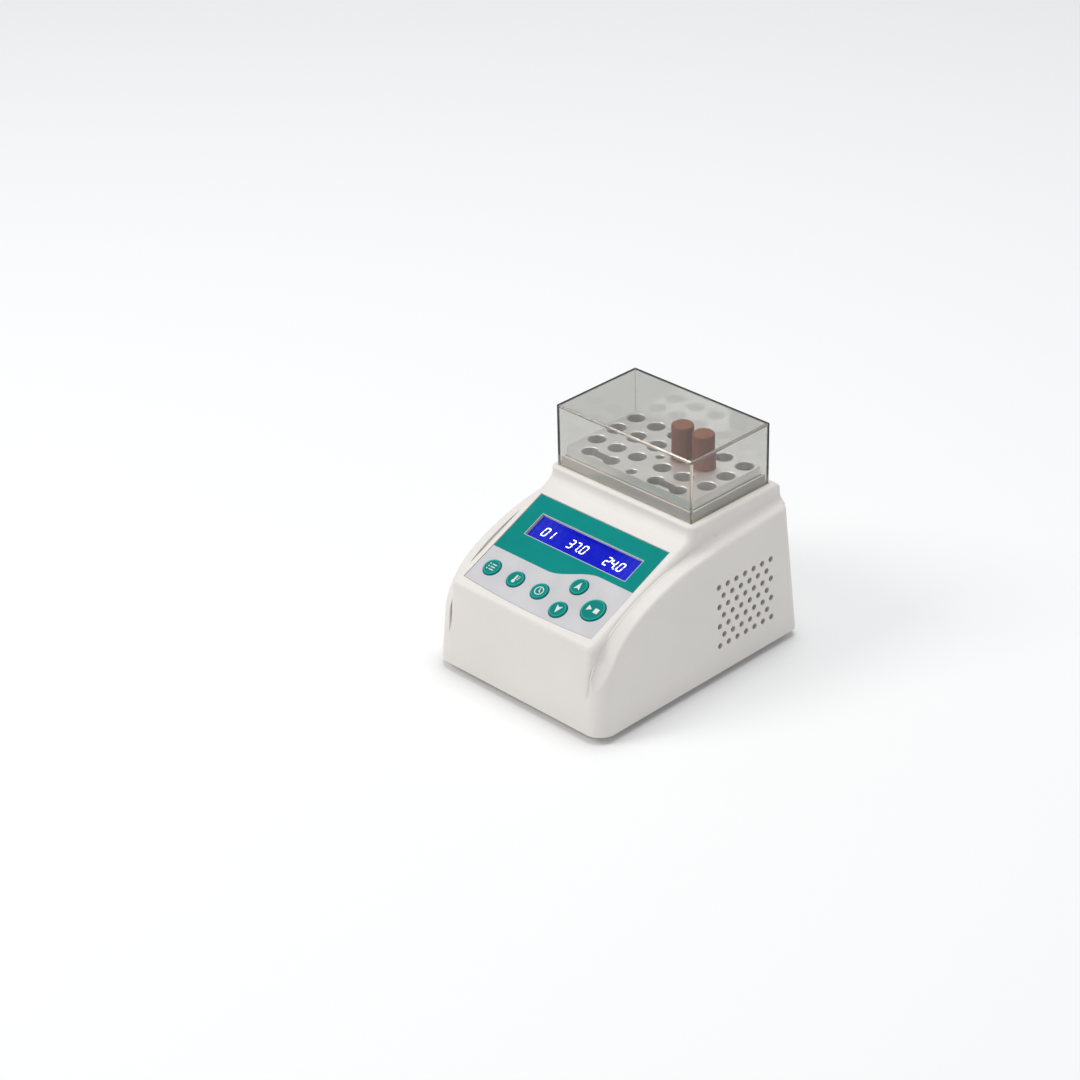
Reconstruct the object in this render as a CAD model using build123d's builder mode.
"""Dry block heater: a small bench incubator for vials, as an assembly of separate pieces.

Frame: millimetres, +Z up, the control panel faces -Y, origin at the middle of the footprint
on the surface that the rubber feet stand on.
"""

import os
from math import atan2, cos, degrees, radians, sin

from build123d import *

os.makedirs("parts", exist_ok=True)

# ---------------------------------------------------------------- driving dimensions
FOOT_H = 4.0
BASE_W, BASE_D = 110.0, 138.0
FRONT_CORNER_R, REAR_CORNER_R = 9.0, 5.0
LEDGE_Z = 82.6                      # top of the neck, where the lid stands
TOP_W = 104.5                       # width of the drafted envelope at the ledge's height
TOP_FRONT_Y, TOP_REAR_Y = -61.5, 62.0
WALL = 2.4
FIT = 0.3                           # gap between pieces that go together loosely

NECK_HALF_W = 46.5
NECK_FRONT_Y = 1.9

PANEL_TILT = 23.8                   # slope of the control panel, degrees
PANEL_Y, PANEL_Z = -34.46, 61.15    # middle of the panel
PANEL_W, PANEL_L, PANEL_BOW = 83.2, 57.0, 1.8
LABEL_T, LABEL_RECESS, LABEL_GAP = 0.8, 1.0, 0.25

# side profile of the housing's shoulder, high line beside the neck and low line at the side wall
SHOULDER_HIGH = [(-66.9, 26), (-60.5, 41), (-50.5, 52), (-35, 60.3), (-12, 67.5), (15, 71.2), (72, 74.5)]
SHOULDER_LOW = [(-65.5, 14), (-58.3, 35.5), (-48.5, 47.5), (-33.5, 56.3), (-11, 62.9), (15, 66.5), (72, 70.5)]
SHOULDER_LOW_X = 60.0
COVE_W = 3.0                        # width of the cove where a shoulder meets the nose
COVE_STEPS = 5
OVERLAP = 0.3                       # how far the housing's volumes run into each other
# slope of the shoulder's profile, degrees, and height of its cove, at each point of its line
COVE_SWELL = [(72, 1.0), (55, 1.5), (38, 0.6), (24, 0.4), (10, 0.5), (4, 3.0), (3, 3.0)]
RIDGE_R, FLANK_R, LEDGE_R, BROW_R = 2.2, 4.0, 1.8, 3.5
SHOULDER_TANGENTS = [(0.2, 1), (1, 0.06)]

HEATER_Y = 31.4                     # middle of the block, the collar and the lid
BLOCK_W, BLOCK_D, BLOCK_H = 79.8, 47.4, 34.0
BLOCK_TOP_Z = 92.3
BLOCK_GAP = 0.4
COLLAR_T, COLLAR_TOP_Z, COLLAR_BOTTOM_Z = 1.1, 87.6, 58.0

WELL_D, WELL_DEPTH, WELL_PITCH = 8.8, 28.0, 13.2
WELL_X = [-34.5, -21.3, -8.1, 8.1, 21.3, 34.5]
WELL_ROWS_Y = [23.4, 36.6, 49.8]
CRUSH_X, CRUSH_Y, CRUSH_LOBE_R, CRUSH_LOBE_X, CRUSH_WAIST, CRUSH_DEPTH = 21.3, 12.3, 4.0, 7.0, 4.8, 22.0
PROBE_HOLE_D, PROBE_HOLE_Y, PROBE_HOLE_DEPTH = 5.2, 10.9, 26.0
LIFT_HOLE_D, LIFT_HOLE_Y, LIFT_HOLE_DEPTH = 4.2, 30.4, 15.0

LID_W, LID_D, LID_H, LID_WALL, LID_TOP_T = 86.4, 54.0, 32.0, 1.5, 2.0

VIALS = {"a": (8.1, 36.6), "b": (21.3, 36.6)}
TUBE_D, TUBE_WALL, TUBE_LENGTH = 8.2, 0.7, 38.0
CAP_D, CAP_H, CAP_BOTTOM_Z = 10.7, 16.4, 92.7

# the six buttons: x, distance up the panel from its middle, cap diameter
BUTTONS = {
    "program": (-32.1, -18.1, 9.1),
    "temperature": (-16.4, -18.3, 9.1),
    "time": (-0.5, -18.4, 9.1),
    "up": (15.4, -7.5, 9.1),
    "down": (15.2, -22.6, 9.1),
    "start_stop": (31.0, -15.1, 12.3),
}
BUTTON_PROUD, BUTTON_FLANGE = 0.5, 1.0

DISPLAY_X, DISPLAY_V, DISPLAY_W, DISPLAY_H = 0.6, 12.1, 65.0, 13.5
MODULE_W, MODULE_H = 69.0, 24.0     # outside of the display's metal frame
POCKET_ROOF_N = -1.7                # roof of the housing's pocket for the display
WINDOW_T, FRAME_T, GLASS_T = 0.5, 0.4, 1.8

BOARD_T = 1.6
BOARD_TOP_N = -9.8                  # control board's upper face, below the panel's surface
BOARD_W, BOARD_L = 82.0, 53.0
BOARD_BOSSES = [(x, v) for x in (-38.6, 38.6) for v in (-24.2, 24.2)]

SWITCH_X, JACK_X, REAR_FITTINGS_Z = 28.0, -28.0, 32.0
SWITCH_W, SWITCH_H = 12.6, 18.6
JACK_BARREL_R, JACK_SOCKET_R, JACK_PIN_R = 4.0, 2.8, 1.0

VENT_ROWS, VENT_COLUMNS, VENT_D = 7, 7, 3.0
VENT_Y, VENT_Z, VENT_PITCH_Y, VENT_PITCH_Z = 12.4, 18.3, 6.05, 5.2

BASE_SCREWS = [(x, y) for x in (-48.8, 48.8) for y in (-38.0, 57.0)]
BASE_BOSS_H = 18.0
FEET = [(x, y) for x in (-41.0, 41.0) for y in (-55.0, 55.0)]
POWER_BOARD_Y, POWER_BOARD_W, POWER_BOARD_L, POWER_BOARD_Z = 14.0, 78.0, 56.0, 12.0
POWER_BOARD_HOLES = [(x, y) for x in (-34.0, 34.0) for y in (-9.0, 37.0)]
CARRIER_SCREWS = [(x, y) for x in (-47.3, 47.3) for y in (18.0, 45.0)]
CARRIER_Z, CARRIER_T, CARRIER_BOSS_TOP_Z = 42.8, 1.2, 69.0
FOAM_W, FOAM_D, FOAM_TOP_Z = 87.2, 54.0, 79.6
MAT_Z, MAT_T = 52.8, 1.5
PLATE_T = 4.0

# ---------------------------------------------------------------- derived values and planes
PANEL_INNER_N = -(LABEL_RECESS + WALL)
panel = Plane(
    origin=(0, PANEL_Y, PANEL_Z),
    x_dir=(1, 0, 0),
    z_dir=(0, -sin(radians(PANEL_TILT)), cos(radians(PANEL_TILT))),
)
REAR_LEAN = degrees(atan2(BASE_D / 2 - TOP_REAR_Y, LEDGE_Z - FOOT_H))
REAR_Y = BASE_D / 2 - (REAR_FITTINGS_Z - FOOT_H) * (BASE_D / 2 - TOP_REAR_Y) / (LEDGE_Z - FOOT_H)
rear = Plane(
    origin=(0, REAR_Y, REAR_FITTINGS_Z),
    x_dir=(-1, 0, 0),
    z_dir=(0, cos(radians(REAR_LEAN)), sin(radians(REAR_LEAN))),
)
BLOCK_BOTTOM_Z = BLOCK_TOP_Z - BLOCK_H
COLLAR_W, COLLAR_D = BLOCK_W + 2 * (BLOCK_GAP + COLLAR_T), BLOCK_D + 2 * (BLOCK_GAP + COLLAR_T)


def side(x):
    """Plane of a side profile at x: sketch x is +Y and sketch y is +Z."""
    return Plane.YZ.offset(x)


def panel_z(y):
    """Height of the panel's surface, carried on past its edges, at y."""
    return PANEL_Z + (y - PANEL_Y) * sin(radians(PANEL_TILT)) / cos(radians(PANEL_TILT))


def envelope(inset):
    """Drafted block around the whole housing, with rounded upright corners, inset on every side."""
    with BuildPart() as block:
        with BuildSketch(Plane.XY.offset(FOOT_H)) as foot:
            Rectangle(BASE_W - 2 * inset, BASE_D - 2 * inset)
            fillet(foot.vertices().group_by(Axis.Y)[0], FRONT_CORNER_R - inset)
            fillet(foot.vertices().group_by(Axis.Y)[-1], REAR_CORNER_R - inset)
        with BuildSketch(Plane.XY.offset(LEDGE_Z)) as head:
            with Locations((0, (TOP_FRONT_Y + TOP_REAR_Y) / 2)):
                Rectangle(TOP_W - 2 * inset, TOP_REAR_Y - TOP_FRONT_Y - 2 * inset)
            fillet(head.vertices().group_by(Axis.Y)[0], FRONT_CORNER_R - inset)
            fillet(head.vertices().group_by(Axis.Y)[-1], REAR_CORNER_R - inset)
        loft(ruled=True)
    return block.part


def shoulder_line(x, cove=0.0):
    """Side profile's points at x: a slope outwards and down, swollen by a share of the cove."""
    out = (x - NECK_HALF_W) / (SHOULDER_LOW_X - NECK_HALF_W)
    line = [Vector(*high) * (1 - out) + Vector(*low) * out for high, low in zip(SHOULDER_HIGH, SHOULDER_LOW)]
    return [
        point + Vector(-sin(radians(slope)), cos(radians(slope))) * cove * swell
        for point, (slope, swell) in zip(line, COVE_SWELL)
    ]


def shoulder_face(x, points):
    """Side profile under a shoulder line, on the plane at x."""
    with BuildSketch(side(x)) as face:
        with BuildLine():
            Line((-72, FOOT_H), points[0])
            Spline(*points, tangents=SHOULDER_TANGENTS)
            Line(points[-1], (72, FOOT_H))
            Line((72, FOOT_H), (-72, FOOT_H))
        make_face()
    return face.sketch


def neck_face(x, panel_drop, wall):
    """Side profile of the sloped panel and the neck at x, lowered and thinned for the inside."""
    front = NECK_FRONT_Y + wall
    with BuildSketch(side(x)) as face:
        with BuildLine():
            Polyline(
                (-72, FOOT_H), (-72, panel_z(-72) - panel_drop), (front, panel_z(front) - panel_drop),
                (front, LEDGE_Z - wall), (72, LEDGE_Z - wall), (72, FOOT_H), close=True,
            )
        make_face()
        fillet(face.vertices().sort_by_distance((front, panel_z(front) - panel_drop))[0], 5.0 - wall)
    return face.sketch


def panel_outline(gap):
    """Outline of the control panel, straight above and bowed below, drawn in by a gap."""
    half_w, half_l = PANEL_W / 2 - gap, PANEL_L / 2 - gap
    with BuildSketch(panel) as outline:
        with BuildLine():
            Polyline((-half_w, -half_l), (-half_w, half_l), (half_w, half_l), (half_w, -half_l))
            ThreePointArc((half_w, -half_l), (0, -half_l - PANEL_BOW), (-half_w, -half_l))
        make_face()
    return outline.sketch


def panel_openings(n, gap):
    """Display opening and button holes, sketched n above the panel's surface."""
    with BuildSketch(panel.offset(n)) as openings:
        with Locations((DISPLAY_X, DISPLAY_V)):
            Rectangle(DISPLAY_W, DISPLAY_H)
        for x, v, diameter in BUTTONS.values():
            with Locations((x, v)):
                Circle(diameter / 2 + gap)
    return openings.sketch


def on_panel(x, v, n):
    """Point at (x, v) on the panel, n above its surface."""
    return panel.from_local_coords((x, v, n))


def on_rear(x, v, n):
    """Point on the rear wall at the object's x, v above the fittings' line, n outside the wall."""
    return rear.from_local_coords((-x, v, n))


def lead(points, bend_r, wire_r):
    """Round lead along straight runs joined by arcs."""
    with BuildPart() as wire:
        with BuildLine() as route:
            FilletPolyline(*points, radius=bend_r)
        with BuildSketch(Plane(origin=route.line @ 0, z_dir=route.line % 0)):
            Circle(wire_r)
        sweep()
    return wire.part


# ---------------------------------------------------------------- upper housing
outer_block, inner_block = envelope(0), envelope(WALL)

with BuildPart() as core:
    core_line = shoulder_line(NECK_HALF_W + COVE_W)
    add(shoulder_face(OVERLAP - NECK_HALF_W, core_line))
    extrude(amount=2 * (NECK_HALF_W - OVERLAP), dir=(1, 0, 0))
    add(outer_block, mode=Mode.INTERSECT)

# each shoulder starts beside the nose in a cove, a quarter round in steps
with BuildPart() as coves:
    add(shoulder_face(NECK_HALF_W - 2 * OVERLAP, shoulder_line(NECK_HALF_W, 1)))
    for step in range(COVE_STEPS + 1):
        turn = radians(90 * step / COVE_STEPS)
        x = NECK_HALF_W + COVE_W * (1 - cos(turn))
        add(shoulder_face(x, shoulder_line(x, 1 - sin(turn))))
    loft(ruled=True)
    add(outer_block, mode=Mode.INTERSECT)
    mirror(about=Plane.YZ)


def is_ridge(edge):
    """True for the edge between a shoulder and its side wall, and its turn round the rear corner."""
    x, y, z = edge.center()
    along_side = y < 10 and z > 30 and edge.length > 10
    round_rear = z > 71 and edge.length > 5
    return 51 < x < 53.8 and (along_side or round_rear)


with BuildPart() as shoulders:
    for x in (NECK_HALF_W + COVE_W, SHOULDER_LOW_X):
        add(shoulder_face(x, shoulder_line(x)))
    loft(ruled=True)
    add(outer_block, mode=Mode.INTERSECT)
    fillet(shoulders.edges().filter_by(is_ridge), RIDGE_R)
    mirror(about=Plane.YZ)

with BuildPart() as nose:
    add(neck_face(-NECK_HALF_W, 0, 0))
    extrude(amount=2 * NECK_HALF_W, dir=(1, 0, 0))
    add(outer_block, mode=Mode.INTERSECT)
    flanks = nose.edges().filter_by(lambda e: abs(abs(e.center().X) - NECK_HALF_W) < 0.3)
    fillet(flanks.filter_by(lambda e: 50 < e.center().Z < LEDGE_Z - 0.5 and e.center().Y < 10), FLANK_R)
    fillet(nose.edges().filter_by(lambda e: abs(e.center().Z - LEDGE_Z) < 0.05), LEDGE_R)
    fillet(nose.edges().filter_by(lambda e: abs(e.center().Y + 64.8) < 1.2
                                  and abs(e.center().Z - 47.8) < 1.2), BROW_R)

with BuildPart() as cavity:
    roof_line = [point - Vector(0, WALL + 0.2) for point in shoulder_line(BASE_W / 2)]
    add(shoulder_face(-SHOULDER_LOW_X, roof_line))
    extrude(amount=2 * SHOULDER_LOW_X, dir=(1, 0, 0))
    add(neck_face(-(NECK_HALF_W - WALL), -PANEL_INNER_N / cos(radians(PANEL_TILT)), WALL))
    extrude(amount=2 * (NECK_HALF_W - WALL), dir=(1, 0, 0))
    add(inner_block, mode=Mode.INTERSECT)

with BuildPart() as upper_housing:
    add(core.part)
    add(coves.part)
    add(shoulders.part)
    add(nose.part)
    add(cavity.part, mode=Mode.SUBTRACT)
    # collar round the block, and its skirt down inside the neck
    with BuildSketch(Plane.XY.offset(COLLAR_BOTTOM_Z)):
        with Locations((0, HEATER_Y)):
            Rectangle(COLLAR_W, COLLAR_D)
    extrude(amount=COLLAR_TOP_Z - COLLAR_BOTTOM_Z)
    # bosses for the base screws, each with a rib to the side wall
    for x, y in BASE_SCREWS:
        with BuildSketch(Plane.XY.offset(FOOT_H + WALL)):
            with Locations((x, y)):
                Circle(3.2)
            with Locations((x + (2.2 if x > 0 else -2.2), y)):
                Rectangle(4.4, WALL)
        extrude(amount=BASE_BOSS_H)
    # bosses for the carrier, hanging from the shoulders
    with BuildSketch(Plane.XY.offset(CARRIER_Z + CARRIER_T)):
        with Locations(*CARRIER_SCREWS):
            Circle(2.7)
    extrude(amount=CARRIER_BOSS_TOP_Z - CARRIER_Z - CARRIER_T)
    # pegs for the control board
    with BuildSketch(panel.offset(BOARD_TOP_N)):
        with Locations(*BOARD_BOSSES):
            Circle(2.3)
    extrude(amount=PANEL_INNER_N - BOARD_TOP_N + 0.5)
    # openings
    with BuildSketch(Plane.XY.offset(COLLAR_BOTTOM_Z - 1)):
        with Locations((0, HEATER_Y)):
            Rectangle(BLOCK_W + 2 * BLOCK_GAP, BLOCK_D + 2 * BLOCK_GAP)
    extrude(amount=COLLAR_TOP_Z - COLLAR_BOTTOM_Z + 2, mode=Mode.SUBTRACT)
    add(panel_outline(0))
    extrude(amount=LABEL_RECESS, dir=-panel.z_dir, mode=Mode.SUBTRACT)
    add(panel_openings(0, FIT))
    extrude(amount=0.2 - PANEL_INNER_N, dir=-panel.z_dir, mode=Mode.SUBTRACT)
    # pocket inside for the display, which brings it close under the panel
    with BuildSketch(panel.offset(POCKET_ROOF_N)):
        with Locations((DISPLAY_X, DISPLAY_V)):
            Rectangle(MODULE_W + 2 * FIT, MODULE_H + 2 * FIT)
    extrude(amount=PANEL_INNER_N - POCKET_ROOF_N - 0.2, mode=Mode.SUBTRACT)
    with BuildSketch(side(60)):
        for row in range(VENT_ROWS):
            count = VENT_COLUMNS - row % 2
            for column in range(count):
                with Locations((VENT_Y + (column + row % 2 / 2) * VENT_PITCH_Y, VENT_Z + row * VENT_PITCH_Z)):
                    Circle(VENT_D / 2)
    extrude(amount=-10, mode=Mode.SUBTRACT)
    with BuildSketch(side(-60)):
        for row in range(VENT_ROWS):
            count = VENT_COLUMNS - row % 2
            for column in range(count):
                with Locations((VENT_Y + (column + row % 2 / 2) * VENT_PITCH_Y, VENT_Z + row * VENT_PITCH_Z)):
                    Circle(VENT_D / 2)
    extrude(amount=10, mode=Mode.SUBTRACT)
    with BuildSketch(rear.offset(2)):
        with Locations((-SWITCH_X, 0)):
            Rectangle(SWITCH_W + 0.4, SWITCH_H + 0.4)
        with Locations((-JACK_X, 0)):
            Circle(JACK_BARREL_R + 0.1)
    extrude(amount=-8, mode=Mode.SUBTRACT)
    # pilot holes for the screws
    with BuildSketch(Plane.XY.offset(FOOT_H + WALL)):
        with Locations(*BASE_SCREWS):
            Circle(1.2)
    extrude(amount=12, mode=Mode.SUBTRACT)
    with BuildSketch(Plane.XY.offset(CARRIER_Z + CARRIER_T)):
        with Locations(*CARRIER_SCREWS):
            Circle(1.1)
    extrude(amount=9, mode=Mode.SUBTRACT)
    with BuildSketch(panel.offset(BOARD_TOP_N)):
        with Locations(*BOARD_BOSSES):
            Circle(1.0)
    extrude(amount=5.5, mode=Mode.SUBTRACT)
upper_housing.part.label = "upper_housing"
export_step(upper_housing.part, "parts/upper_housing.step")

# ---------------------------------------------------------------- bottom cover, feet and screws
with BuildPart() as base_plate:
    with BuildSketch(Plane.XY.offset(FOOT_H)) as outline:
        Rectangle(BASE_W - 2 * WALL - 0.4, BASE_D - 2 * WALL - 0.9)
        fillet(outline.vertices().group_by(Axis.Y)[0], FRONT_CORNER_R - WALL)
        fillet(outline.vertices().group_by(Axis.Y)[-1], REAR_CORNER_R - WALL)
    extrude(amount=WALL)
    with BuildSketch(Plane.XY.offset(FOOT_H + WALL)):
        with Locations(*POWER_BOARD_HOLES):
            Circle(3.0)
    extrude(amount=POWER_BOARD_Z - FOOT_H - WALL)
    with BuildSketch(Plane.XY.offset(FOOT_H)):
        with Locations(*POWER_BOARD_HOLES):
            Circle(1.15)
    extrude(amount=POWER_BOARD_Z - FOOT_H, mode=Mode.SUBTRACT)
    with BuildSketch(Plane.XY.offset(FOOT_H)):
        with GridLocations(36, 7, 2, 5):
            SlotOverall(28, 2.6)
        with Locations(*FEET):
            Circle(2.1)
        with Locations(*BASE_SCREWS):
            Circle(1.6)
    extrude(amount=WALL, mode=Mode.SUBTRACT)
    for x, y in BASE_SCREWS:
        with Locations((x, y, FOOT_H)):
            Cone(3.0, 1.6, 1.4, align=(Align.CENTER, Align.CENTER, Align.MIN), mode=Mode.SUBTRACT)
base_plate.part.label = "base_plate"
export_step(base_plate.part, "parts/base_plate.step")

with BuildPart() as rubber_feet:
    for x, y in FEET:
        with Locations((x, y, 0)):
            Cone(5.4, 6.0, FOOT_H, align=(Align.CENTER, Align.CENTER, Align.MIN))
            Cylinder(2.0, FOOT_H + WALL, align=(Align.CENTER, Align.CENTER, Align.MIN))
    fillet(rubber_feet.faces().group_by(Axis.Z)[0].edges(), 0.6)
rubber_feet.part.label = "rubber_feet"
export_step(rubber_feet.part, "parts/rubber_feet.step")

with BuildPart() as base_screws:
    for x, y in BASE_SCREWS:
        with Locations((x, y, FOOT_H + 0.1)):
            Cone(2.8, 1.4, 1.3, align=(Align.CENTER, Align.CENTER, Align.MIN))
            Cylinder(1.15, 13.0, align=(Align.CENTER, Align.CENTER, Align.MIN))
            Box(3.0, 0.7, 1.2, mode=Mode.SUBTRACT)
            Box(0.7, 3.0, 1.2, mode=Mode.SUBTRACT)
base_screws.part.label = "base_screws"
export_step(base_screws.part, "parts/base_screws.step")

# ---------------------------------------------------------------- control panel label and buttons
with BuildPart() as panel_label:
    add(panel_outline(LABEL_GAP).moved(Location(panel.z_dir * -LABEL_RECESS)))
    extrude(amount=LABEL_T, dir=panel.z_dir)
    add(panel_openings(0, FIT))
    extrude(amount=-2 * LABEL_RECESS, dir=panel.z_dir, mode=Mode.SUBTRACT)
panel_label.part.label = "panel_label"
export_step(panel_label.part, "parts/panel_label.step")

PLUNGER_TOP_N, SWITCH_TOP_N = -5.5, -6.3
for button, (x, v, diameter) in BUTTONS.items():
    with BuildPart() as cap:
        with BuildSketch(panel.offset(PANEL_INNER_N - 0.1)):
            with Locations((x, v)):
                Circle(diameter / 2)
        extrude(amount=BUTTON_PROUD - PANEL_INNER_N + 0.1)
        fillet(cap.edges().filter_by(GeomType.CIRCLE).sort_by(Axis(panel.origin, panel.z_dir))[-1], 0.4)
        with BuildSketch(panel.offset(PANEL_INNER_N - 0.1)):
            with Locations((x, v)):
                Circle(diameter / 2 + BUTTON_FLANGE)
        extrude(amount=-1.0)
        with BuildSketch(panel.offset(PANEL_INNER_N - 1.1)):
            with Locations((x, v)):
                Circle(2.0)
        extrude(amount=PLUNGER_TOP_N - PANEL_INNER_N + 1.1)
    cap.part.label = f"button_{button}"
    export_step(cap.part, f"parts/button_{button}.step")

    with BuildPart() as plunger:
        with BuildSketch(panel.offset(PLUNGER_TOP_N)):
            with Locations((x, v)):
                Circle(1.6)
        extrude(amount=-2.5)
    plunger.part.label = f"plunger_{button}"
    export_step(plunger.part, f"parts/plunger_{button}.step")

with BuildPart() as tact_switches:
    for x, v, _ in BUTTONS.values():
        with BuildSketch(panel.offset(BOARD_TOP_N)):
            with Locations((x, v)):
                Rectangle(6, 6)
        extrude(amount=SWITCH_TOP_N - BOARD_TOP_N)
        with BuildSketch(panel.offset(SWITCH_TOP_N)):
            with Locations((x, v)):
                Circle(1.65)
        extrude(amount=-2.4, mode=Mode.SUBTRACT)
tact_switches.part.label = "tact_switches"
export_step(tact_switches.part, "parts/tact_switches.step")

# ---------------------------------------------------------------- display
def display_slab(n_top, thickness, width, height):
    """Flat rectangular layer of the display, its top n_top above the panel's surface."""
    with BuildPart() as slab:
        with BuildSketch(panel.offset(n_top)):
            with Locations((DISPLAY_X, DISPLAY_V)):
                Rectangle(width, height)
        extrude(amount=-thickness)
    return slab.part


FRAME_TOP_N = POCKET_ROOF_N - WINDOW_T - 0.1
GLASS_TOP_N = FRAME_TOP_N - FRAME_T - 0.1
LIGHT_TOP_N = GLASS_TOP_N - GLASS_T - 0.1
INNER_W, INNER_H = MODULE_W - 1.2, MODULE_H - 1.2
window_layer = display_slab(POCKET_ROOF_N, WINDOW_T, DISPLAY_W + 3, DISPLAY_H + 3.5)
frame_outer = display_slab(FRAME_TOP_N, FRAME_TOP_N - BOARD_TOP_N, MODULE_W, MODULE_H)
frame_inner = display_slab(FRAME_TOP_N - FRAME_T, FRAME_TOP_N - FRAME_T - BOARD_TOP_N, INNER_W, INNER_H)
frame_mouth = display_slab(FRAME_TOP_N + 0.1, 1.0, DISPLAY_W + 0.5, DISPLAY_H + 1.5)
glass_layer = display_slab(GLASS_TOP_N, GLASS_T, INNER_W - 0.4, INNER_H - 0.4)
light_layer = display_slab(LIGHT_TOP_N, LIGHT_TOP_N - BOARD_TOP_N - 0.1, INNER_W - 0.4, INNER_H - 0.4)

with BuildPart() as display_window:
    add(window_layer)
display_window.part.label = "display_window"
export_step(display_window.part, "parts/display_window.step")

with BuildPart() as display_frame:
    add(frame_outer)
    add(frame_inner, mode=Mode.SUBTRACT)
    add(frame_mouth, mode=Mode.SUBTRACT)
display_frame.part.label = "display_frame"
export_step(display_frame.part, "parts/display_frame.step")

with BuildPart() as display_glass:
    add(glass_layer)
display_glass.part.label = "display_glass"
export_step(display_glass.part, "parts/display_glass.step")

with BuildPart() as display_backlight:
    add(light_layer)
display_backlight.part.label = "display_backlight"
export_step(display_backlight.part, "parts/display_backlight.step")

# ---------------------------------------------------------------- control board
with BuildPart() as control_board:
    with BuildSketch(panel.offset(BOARD_TOP_N)):
        Rectangle(BOARD_W, BOARD_L)
        with Locations(*BOARD_BOSSES):
            Circle(1.4, mode=Mode.SUBTRACT)
    extrude(amount=-BOARD_T)
control_board.part.label = "control_board"
export_step(control_board.part, "parts/control_board.step")

BOARD_UNDER_N = BOARD_TOP_N - BOARD_T
with BuildPart() as control_board_screws:
    with BuildSketch(panel.offset(BOARD_UNDER_N)):
        with Locations(*BOARD_BOSSES):
            Circle(2.2)
    extrude(amount=-1.5)
    with BuildSketch(panel.offset(BOARD_UNDER_N)):
        with Locations(*BOARD_BOSSES):
            Circle(0.95)
    extrude(amount=6.5)
control_board_screws.part.label = "control_board_screws"
export_step(control_board_screws.part, "parts/control_board_screws.step")

with BuildPart() as control_chips:
    for x, v, width, length in ((14, -6, 12, 12), (-4, 12, 10, 6), (26, 12, 8, 5)):
        with BuildSketch(panel.offset(BOARD_UNDER_N)):
            with Locations((x, v)):
                Rectangle(width, length)
        extrude(amount=-1.6)
control_chips.part.label = "control_chips"
export_step(control_chips.part, "parts/control_chips.step")

with BuildPart() as buzzer:
    with BuildSketch(panel.offset(BOARD_UNDER_N)):
        with Locations((-28, 10)):
            Circle(6.0)
    extrude(amount=-8.5)
    with BuildSketch(panel.offset(BOARD_UNDER_N - 8.5)):
        with Locations((-28, 10)):
            Circle(1.2)
    extrude(amount=3.0, mode=Mode.SUBTRACT)
buzzer.part.label = "buzzer"
export_step(buzzer.part, "parts/buzzer.step")

# ---------------------------------------------------------------- power board and its parts
POWER_TOP_Z = POWER_BOARD_Z + BOARD_T
with BuildPart() as power_board:
    with BuildSketch(Plane.XY.offset(POWER_BOARD_Z)):
        with Locations((0, POWER_BOARD_Y)):
            Rectangle(POWER_BOARD_W, POWER_BOARD_L)
        with Locations(*POWER_BOARD_HOLES):
            Circle(1.5, mode=Mode.SUBTRACT)
    extrude(amount=BOARD_T)
power_board.part.label = "power_board"
export_step(power_board.part, "parts/power_board.step")

with BuildPart() as power_board_screws:
    with BuildSketch(Plane.XY.offset(POWER_TOP_Z)):
        with Locations(*POWER_BOARD_HOLES):
            Circle(2.4)
    extrude(amount=1.7)
    with BuildSketch(Plane.XY.offset(POWER_TOP_Z)):
        with Locations(*POWER_BOARD_HOLES):
            Circle(1.1)
    extrude(amount=-7.5)
power_board_screws.part.label = "power_board_screws"
export_step(power_board_screws.part, "parts/power_board_screws.step")

with BuildPart() as capacitors:
    for x, y, radius, height in ((-30, 1, 5.0, 16), (-30, 12.5, 5.0, 16), (-18, 10, 4.0, 12)):
        with Locations((x, y, POWER_TOP_Z)):
            Cylinder(radius, height, align=(Align.CENTER, Align.CENTER, Align.MIN))
    fillet(capacitors.faces().filter_by(Axis.Z).filter_by(lambda f: f.center().Z > 20).edges(), 0.6)
capacitors.part.label = "capacitors"
export_step(capacitors.part, "parts/capacitors.step")

with BuildPart() as choke:
    with Locations((-24, 27, POWER_TOP_Z)):
        Cylinder(7.0, 7.0, align=(Align.CENTER, Align.CENTER, Align.MIN))
        Cylinder(3.4, 7.0, align=(Align.CENTER, Align.CENTER, Align.MIN), mode=Mode.SUBTRACT)
    fillet(choke.edges().filter_by(GeomType.CIRCLE), 1.2)
choke.part.label = "choke"
export_step(choke.part, "parts/choke.step")

with BuildPart() as heat_sink:
    with BuildSketch(Plane.XY.offset(POWER_TOP_Z)):
        with Locations((19, 14)):
            Rectangle(2, 22)
        for fin in range(6):
            with Locations((27, 4 + 4 * fin)):
                Rectangle(14, 1.4)
    extrude(amount=18)
heat_sink.part.label = "heat_sink"
export_step(heat_sink.part, "parts/heat_sink.step")

with BuildPart() as power_transistor:
    with Locations((15.75, 14, POWER_TOP_Z + 2)):
        Box(4.5, 10, 9, align=(Align.CENTER, Align.CENTER, Align.MIN))
    with Locations((17.35, 14, POWER_TOP_Z + 11)):
        Box(1.3, 10, 6, align=(Align.CENTER, Align.CENTER, Align.MIN))
    with Locations(*[(15.75, 14 + 2.54 * leg, POWER_TOP_Z) for leg in (-1, 0, 1)]):
        Box(0.6, 0.9, 2, align=(Align.CENTER, Align.CENTER, Align.MIN))
power_transistor.part.label = "power_transistor"
export_step(power_transistor.part, "parts/power_transistor.step")

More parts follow.
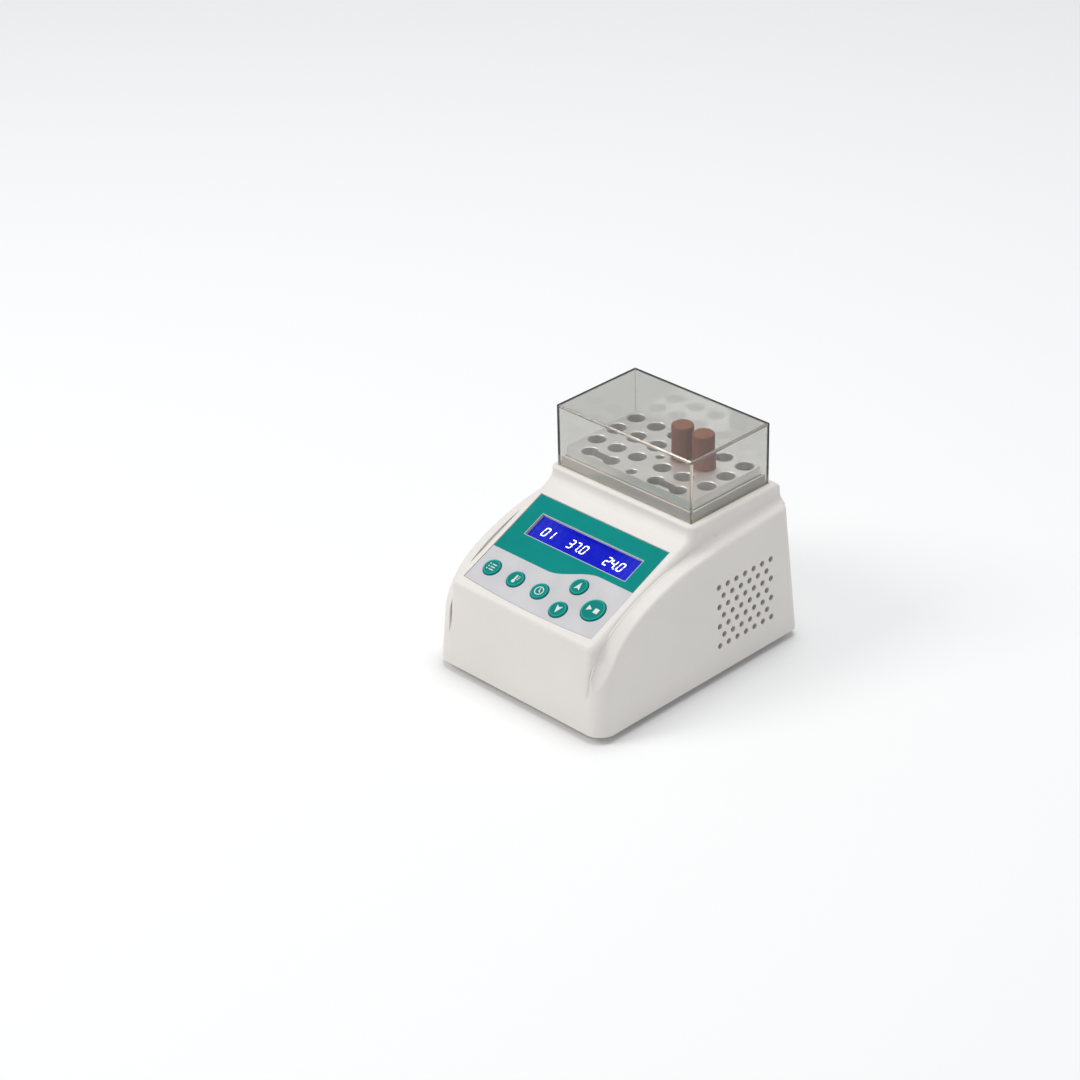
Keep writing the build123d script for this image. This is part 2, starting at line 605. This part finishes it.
with BuildPart() as terminal_blocks:
    for x, y, width in ((0, -6, 14), (-8, 38, 10), (12, 38, 10)):
        with Locations((x, y, POWER_TOP_Z)):
            Box(width, 8, 9, align=(Align.CENTER, Align.CENTER, Align.MIN))
        with Locations((x - 2.5, y, POWER_TOP_Z + 9), (x + 2.5, y, POWER_TOP_Z + 9)):
            Cylinder(1.6, 2, mode=Mode.SUBTRACT)
terminal_blocks.part.label = "terminal_blocks"
export_step(terminal_blocks.part, "parts/terminal_blocks.step")

RIBBON_X, RIBBON_V, RIBBON_Y, RIBBON_W, RIBBON_T = -20.0, -12.0, -8.0, 12.0, 0.9
with BuildPart() as board_headers:
    with Locations((RIBBON_X, RIBBON_Y, POWER_TOP_Z), ):
        Box(15, 5, 6, align=(Align.CENTER, Align.CENTER, Align.MIN))
    with Locations((11, -6, POWER_TOP_Z)):
        Box(5, 8, 6, align=(Align.CENTER, Align.CENTER, Align.MIN))
    with BuildSketch(panel.offset(BOARD_UNDER_N)):
        with Locations((RIBBON_X, RIBBON_V)):
            Rectangle(15, 5)
    extrude(amount=-5)
board_headers.part.label = "board_headers"
export_step(board_headers.part, "parts/board_headers.step")

# ---------------------------------------------------------------- heated stack
with BuildPart() as heating_block:
    with BuildSketch(Plane.XY.offset(BLOCK_BOTTOM_Z)) as footprint:
        with Locations((0, HEATER_Y)):
            Rectangle(BLOCK_W, BLOCK_D)
        fillet(footprint.vertices(), 1.0)
    extrude(amount=BLOCK_H)
    with BuildSketch(Plane.XY.offset(BLOCK_TOP_Z)):
        with Locations(*[(x, y) for x in WELL_X for y in WELL_ROWS_Y]):
            Circle(WELL_D / 2)
    extrude(amount=-WELL_DEPTH, mode=Mode.SUBTRACT)
    with BuildSketch(Plane.XY.offset(BLOCK_TOP_Z)):
        for x in (-CRUSH_X, CRUSH_X):
            with Locations((x - CRUSH_LOBE_X, CRUSH_Y), (x + CRUSH_LOBE_X, CRUSH_Y)):
                Circle(CRUSH_LOBE_R)
            with Locations((x, CRUSH_Y)):
                Rectangle(2 * CRUSH_LOBE_X, CRUSH_WAIST)
    extrude(amount=-CRUSH_DEPTH, mode=Mode.SUBTRACT)
    with Locations((0, PROBE_HOLE_Y, BLOCK_TOP_Z)):
        Hole(PROBE_HOLE_D / 2, PROBE_HOLE_DEPTH)
    with Locations((0, LIFT_HOLE_Y, BLOCK_TOP_Z)):
        Hole(LIFT_HOLE_D / 2, LIFT_HOLE_DEPTH)
    rims = heating_block.edges().filter_by(lambda e: abs(e.center().Z - BLOCK_TOP_Z) < 0.01)
    chamfer(rims.filter_by(GeomType.CIRCLE).filter_by(lambda e: e.length > 10), 0.35)
heating_block.part.label = "heating_block"
export_step(heating_block.part, "parts/heating_block.step")

SENSOR_X, SENSOR_Z = 11.0, 56.3
PLATE_W, PLATE_D = 79.0, 47.0
with BuildPart() as heater_plate:
    with Locations((0, HEATER_Y, BLOCK_BOTTOM_Z - PLATE_T)):
        Box(PLATE_W, PLATE_D, PLATE_T, align=(Align.CENTER, Align.CENTER, Align.MIN))
    with BuildSketch(Plane.XZ.offset(-(HEATER_Y - PLATE_D / 2))):
        with Locations((SENSOR_X, SENSOR_Z)):
            Circle(1.55)
    extrude(amount=-12, mode=Mode.SUBTRACT)
heater_plate.part.label = "heater_plate"
export_step(heater_plate.part, "parts/heater_plate.step")

with BuildPart() as heater_mat:
    with Locations((0, HEATER_Y, MAT_Z)):
        Box(70, 40, MAT_T, align=(Align.CENTER, Align.CENTER, Align.MIN))
heater_mat.part.label = "heater_mat"
export_step(heater_mat.part, "parts/heater_mat.step")

with BuildPart() as insulation_jacket:
    with Locations((0, HEATER_Y + 0.2, CARRIER_Z + CARRIER_T)):
        Box(FOAM_W, FOAM_D, FOAM_TOP_Z - CARRIER_Z - CARRIER_T, align=(Align.CENTER, Align.CENTER, Align.MIN))
    with Locations((0, HEATER_Y, MAT_Z)):
        Box(COLLAR_W + 0.6, COLLAR_D + 0.6, 40, align=(Align.CENTER, Align.CENTER, Align.MIN), mode=Mode.SUBTRACT)
    with Locations((0, 8.4, MAT_Z)):
        Box(9, 3, 40, mode=Mode.SUBTRACT)
    with Locations((SENSOR_X, 7.1, MAT_Z)):
        Cylinder(1.0, 40, mode=Mode.SUBTRACT)
    with Locations((-30, HEATER_Y, MAT_Z - 4.3)):
        Box(6, 12, 5, align=(Align.CENTER, Align.CENTER, Align.MIN), mode=Mode.SUBTRACT)
insulation_jacket.part.label = "insulation_jacket"
export_step(insulation_jacket.part, "parts/insulation_jacket.step")

with BuildPart() as thermal_fuse:
    with BuildSketch(Plane.XZ.offset(-(HEATER_Y + 5))):
        with Locations((-30, MAT_Z - 2.0)):
            Circle(2.0)
    extrude(amount=10)
thermal_fuse.part.label = "thermal_fuse"
export_step(thermal_fuse.part, "parts/thermal_fuse.step")

with BuildPart() as temperature_sensor:
    with BuildSketch(Plane.XZ.offset(-19.5)):
        with Locations((SENSOR_X, SENSOR_Z)):
            Circle(1.5)
    extrude(amount=10)
temperature_sensor.part.label = "temperature_sensor"
export_step(temperature_sensor.part, "parts/temperature_sensor.step")

with BuildPart() as carrier_tray:
    with BuildSketch(Plane.XY.offset(CARRIER_Z)) as sheet:
        with Locations((0, 31.5)):
            Rectangle(100, 40)
        fillet(sheet.vertices(), 3)
        with Locations(*CARRIER_SCREWS):
            Circle(1.5, mode=Mode.SUBTRACT)
    extrude(amount=CARRIER_T)
carrier_tray.part.label = "carrier_tray"
export_step(carrier_tray.part, "parts/carrier_tray.step")

with BuildPart() as carrier_screws:
    with BuildSketch(Plane.XY.offset(CARRIER_Z)):
        with Locations(*CARRIER_SCREWS):
            Circle(2.4)
    extrude(amount=-1.7)
    with BuildSketch(Plane.XY.offset(CARRIER_Z)):
        with Locations(*CARRIER_SCREWS):
            Circle(1.05)
    extrude(amount=8)
carrier_screws.part.label = "carrier_screws"
export_step(carrier_screws.part, "parts/carrier_screws.step")

# ---------------------------------------------------------------- lid
with BuildPart() as lid:
    with Locations((0, HEATER_Y, LEDGE_Z)):
        Box(LID_W, LID_D, LID_H, align=(Align.CENTER, Align.CENTER, Align.MIN))
    fillet(lid.edges().filter_by(Axis.Z), 1.2)
    fillet(lid.faces().sort_by(Axis.Z)[-1].edges(), 0.6)
    with Locations((0, HEATER_Y, LEDGE_Z)):
        Box(LID_W - 2 * LID_WALL, LID_D - 2 * LID_WALL, LID_H - LID_TOP_T,
            align=(Align.CENTER, Align.CENTER, Align.MIN), mode=Mode.SUBTRACT)
lid.part.label = "lid"
export_step(lid.part, "parts/lid.step")

# ---------------------------------------------------------------- vials
WELL_BOTTOM_Z = BLOCK_TOP_Z - WELL_DEPTH
for vial, (x, y) in VIALS.items():
    upright = Plane(origin=(x, y, WELL_BOTTOM_Z), x_dir=(1, 0, 0), z_dir=(0, -1, 0))
    axis = Axis((x, y, 0), (0, 0, 1))
    outer_r, inner_r = TUBE_D / 2, TUBE_D / 2 - TUBE_WALL
    with BuildPart() as tube:
        with BuildSketch(upright):
            with BuildLine():
                CenterArc((0, outer_r), outer_r, -90, 90)
                Polyline((outer_r, outer_r), (outer_r, TUBE_LENGTH), (inner_r, TUBE_LENGTH), (inner_r, outer_r))
                CenterArc((0, outer_r), inner_r, -90, 90)
                Line((0, outer_r - inner_r), (0, 0))
            make_face()
        revolve(axis=axis)
    tube.part.label = f"vial_tube_{vial}"
    export_step(tube.part, f"parts/vial_tube_{vial}.step")

    with BuildPart() as vial_cap:
        with Locations((x, y, CAP_BOTTOM_Z)):
            Cylinder(CAP_D / 2, CAP_H, align=(Align.CENTER, Align.CENTER, Align.MIN))
        fillet(vial_cap.faces().sort_by(Axis.Z)[-1].edges(), 0.9)
        with Locations((x, y, CAP_BOTTOM_Z)):
            Cylinder(outer_r + 0.05, WELL_BOTTOM_Z + TUBE_LENGTH - CAP_BOTTOM_Z,
                     align=(Align.CENTER, Align.CENTER, Align.MIN), mode=Mode.SUBTRACT)
    vial_cap.part.label = f"vial_cap_{vial}"
    export_step(vial_cap.part, f"parts/vial_cap_{vial}.step")

# ---------------------------------------------------------------- rear switch
PIVOT_N, ROCKER_R, ROCKER_W, ROCKER_TILT = -1.0, 8.0, 10.0, 8.0
with BuildPart() as switch_body:
    with BuildSketch(rear.offset(-12)):
        with Locations((-SWITCH_X, 0)):
            Rectangle(SWITCH_W, SWITCH_H)
    extrude(amount=12)
    with BuildSketch(rear) as bezel:
        with Locations((-SWITCH_X, 0)):
            Rectangle(SWITCH_W + 2.6, SWITCH_H + 2.4)
        fillet(bezel.vertices(), 1.2)
    extrude(amount=1.2)
    with BuildSketch(rear.offset(-9)):
        with Locations((-SWITCH_X, 0)):
            Rectangle(ROCKER_W + 0.6, 2 * ROCKER_R + 0.8)
    extrude(amount=12, mode=Mode.SUBTRACT)
    with BuildSketch(Plane(origin=on_rear(SWITCH_X + 6.1, 0, PIVOT_N), x_dir=rear.y_dir, z_dir=(-1, 0, 0))):
        Circle(1.25)
    extrude(amount=12.2, mode=Mode.SUBTRACT)
switch_body.part.label = "switch_body"
export_step(switch_body.part, "parts/switch_body.step")

# rocker: a disc round the pivot, flat below, whose top is two flats, so one end stands proud
PROUD_RISE = 12 * sin(radians(2 * ROCKER_TILT)) / cos(radians(2 * ROCKER_TILT))
with BuildPart() as switch_rocker:
    with BuildSketch(Plane(origin=on_rear(SWITCH_X - ROCKER_W / 2, 0, PIVOT_N), x_dir=rear.y_dir,
                           z_dir=(1, 0, 0))):
        Circle(ROCKER_R)
        with Locations((0, -13.4)):
            Rectangle(24, 20, mode=Mode.SUBTRACT)
        with BuildLine():
            Polyline((-12, 1.4), (0, 1.4), (12, 1.4 + PROUD_RISE), (12, 20), (-12, 20), close=True)
        make_face(mode=Mode.SUBTRACT)
    extrude(amount=ROCKER_W)
    with BuildSketch(Plane(origin=on_rear(SWITCH_X - 5.9, 0, PIVOT_N), x_dir=rear.y_dir, z_dir=(1, 0, 0))):
        Circle(1.2)
    extrude(amount=11.8)
switch_rocker.part.label = "switch_rocker"
export_step(switch_rocker.part, "parts/switch_rocker.step")

with BuildPart() as switch_terminals:
    for v in (-4.5, 4.5):
        with BuildSketch(rear.offset(-12)):
            with Locations((-SWITCH_X, v)):
                Rectangle(4.8, 0.8)
        extrude(amount=-6)
switch_terminals.part.label = "switch_terminals"
export_step(switch_terminals.part, "parts/switch_terminals.step")

# ---------------------------------------------------------------- low-voltage inlet
with BuildPart() as inlet_jack:
    with BuildSketch(rear):
        with Locations((-JACK_X, 0)):
            Circle(5.6)
    extrude(amount=1.2)
    with BuildSketch(rear):
        with Locations((-JACK_X, 0)):
            Circle(JACK_BARREL_R)
    extrude(amount=-12)
    with BuildSketch(rear.offset(1.3)):
        with Locations((-JACK_X, 0)):
            Circle(JACK_SOCKET_R)
    extrude(amount=-10.3, mode=Mode.SUBTRACT)
inlet_jack.part.label = "inlet_jack"
export_step(inlet_jack.part, "parts/inlet_jack.step")

with BuildPart() as inlet_pin:
    with BuildSketch(rear.offset(-9)):
        with Locations((-JACK_X, 0)):
            Circle(JACK_PIN_R)
    extrude(amount=9)
    fillet(inlet_pin.edges().filter_by(GeomType.CIRCLE).sort_by(Axis.Y)[-1], 0.4)
inlet_pin.part.label = "inlet_pin"
export_step(inlet_pin.part, "parts/inlet_pin.step")

with BuildPart() as inlet_nut:
    with BuildSketch(rear.offset(-WALL - 0.05)):
        with Locations((-JACK_X, 0)):
            RegularPolygon(6.0, 6)
            Circle(JACK_BARREL_R + 0.05, mode=Mode.SUBTRACT)
    extrude(amount=-2.0)
inlet_nut.part.label = "inlet_nut"
export_step(inlet_nut.part, "parts/inlet_nut.step")

# ---------------------------------------------------------------- internal leads
LEAD_R, TERMINAL_REAR_Y, TERMINAL_ENTRY_Z = 0.6, 42.0, 18.0
MAT_FRONT_Y = HEATER_Y - 20

with BuildPart() as heater_leads:
    for x in (-2.5, 2.5):
        add(lead([(x, MAT_FRONT_Y, MAT_Z + MAT_T / 2), (x, 8.4, MAT_Z + MAT_T / 2),
                  (x, 8.4, TERMINAL_ENTRY_Z), (x, -2, TERMINAL_ENTRY_Z)], 1.6, LEAD_R))
heater_leads.part.label = "heater_leads"
export_step(heater_leads.part, "parts/heater_leads.step")

with BuildPart() as sensor_lead:
    add(lead([(SENSOR_X, 9.5, SENSOR_Z), (SENSOR_X, 7.1, SENSOR_Z), (SENSOR_X, 7.1, POWER_TOP_Z + 3),
              (SENSOR_X, -2, POWER_TOP_Z + 3)], 1.6, LEAD_R))
sensor_lead.part.label = "sensor_lead"
export_step(sensor_lead.part, "parts/sensor_lead.step")

with BuildPart() as inlet_leads:
    for side_x in (-2, 2):
        add(lead([on_rear(JACK_X + side_x, 0, -12), on_rear(JACK_X + side_x, 0, -17),
                  (-8 + side_x, 47.5, TERMINAL_ENTRY_Z), (-8 + side_x, TERMINAL_REAR_Y, TERMINAL_ENTRY_Z)],
                 1.8, LEAD_R))
inlet_leads.part.label = "inlet_leads"
export_step(inlet_leads.part, "parts/inlet_leads.step")

with BuildPart() as switch_leads:
    for v in (-4.5, 4.5):
        x = 12 + v / 2.25
        add(lead([on_rear(SWITCH_X, v, -18), on_rear(SWITCH_X, v, -21), (x, 46.0, TERMINAL_ENTRY_Z),
                  (x, TERMINAL_REAR_Y, TERMINAL_ENTRY_Z)], 1.4, LEAD_R))
switch_leads.part.label = "switch_leads"
export_step(switch_leads.part, "parts/switch_leads.step")

with BuildPart() as ribbon_cable:
    with BuildSketch(side(RIBBON_X - RIBBON_W / 2)):
        with BuildLine():
            header = on_panel(RIBBON_X, RIBBON_V, BOARD_UNDER_N - 5)
            below = on_panel(RIBBON_X, RIBBON_V, BOARD_UNDER_N - 12)
            FilletPolyline((header.Y, header.Z), (below.Y, below.Z), (RIBBON_Y, 29), (RIBBON_Y, POWER_TOP_Z + 6),
                           radius=3.0)
        trace(line_width=RIBBON_T)
    extrude(amount=RIBBON_W)
ribbon_cable.part.label = "ribbon_cable"
export_step(ribbon_cable.part, "parts/ribbon_cable.step")
